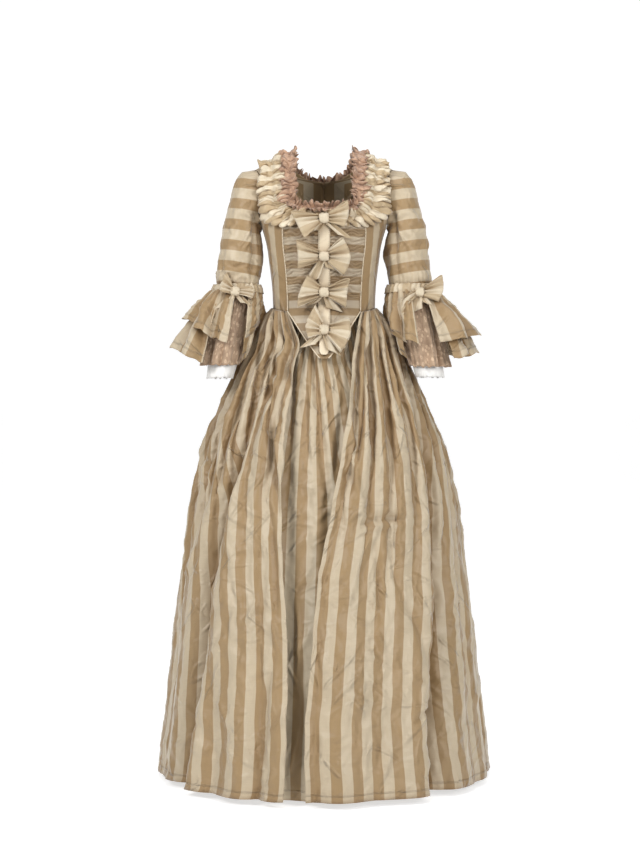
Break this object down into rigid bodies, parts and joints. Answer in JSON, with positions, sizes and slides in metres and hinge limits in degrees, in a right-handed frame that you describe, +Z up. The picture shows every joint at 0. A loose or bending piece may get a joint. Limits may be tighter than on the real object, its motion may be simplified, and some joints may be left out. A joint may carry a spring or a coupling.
{
  "type": "worn english gown",
  "caption": "Striped taffeta English gown, worn: open robe over a petticoat, gathered stomacher with bows, ruched square neck and elbow flounces.",
  "frame": {"origin": "midway between the shoulder seams and at their height, where the wearer's shoulders carry the gown", "axes": "+Z up, the front faces -Y, +X is the wearer's left"},
  "size_m": [0.8048, 0.8428, 1.49],
  "materials": {
    "striped_taffeta": "striped silk taffeta, soft sheen",
    "pale_taffeta": "striped silk taffeta, mostly its pale stripe",
    "tulle": "ruched net, matte",
    "lace": "fine lace, matte",
    "white_cotton": "fine white cotton, matte"
  },
  "bodies": {
    "root": {"bodice_front_right": "striped_taffeta", "bodice_front_left": "striped_taffeta", "bodice_back_right": "striped_taffeta", "bodice_back_left": "striped_taffeta", "stomacher_right": "striped_taffeta", "stomacher_left": "striped_taffeta", "sleeve_right": "striped_taffeta", "sleeve_left": "striped_taffeta", "upper_flounce_right": "striped_taffeta", "upper_flounce_left": "striped_taffeta", "lower_flounce_right": "striped_taffeta", "lower_flounce_left": "striped_taffeta", "elbow_band_right": "striped_taffeta", "elbow_band_left": "striped_taffeta", "robe_front_left": "striped_taffeta", "robe_back_left": "striped_taffeta", "robe_back_right": "striped_taffeta", "robe_front_right": "striped_taffeta", "petticoat_front": "striped_taffeta", "petticoat_left": "striped_taffeta", "petticoat_back": "striped_taffeta", "petticoat_right": "striped_taffeta", "centre_band": "pale_taffeta", "bow_1": "pale_taffeta", "bow_2": "pale_taffeta", "bow_3": "pale_taffeta", "bow_4": "pale_taffeta", "elbow_bow_right": "pale_taffeta", "elbow_bow_left": "pale_taffeta", "neckline_trim": "pale_taffeta", "tulle_ruche": "tulle", "lace_flounce_right": "lace", "lace_flounce_left": "lace", "under_ruffle_right": "white_cotton", "under_ruffle_left": "white_cotton"}
  },
  "joints": []
}
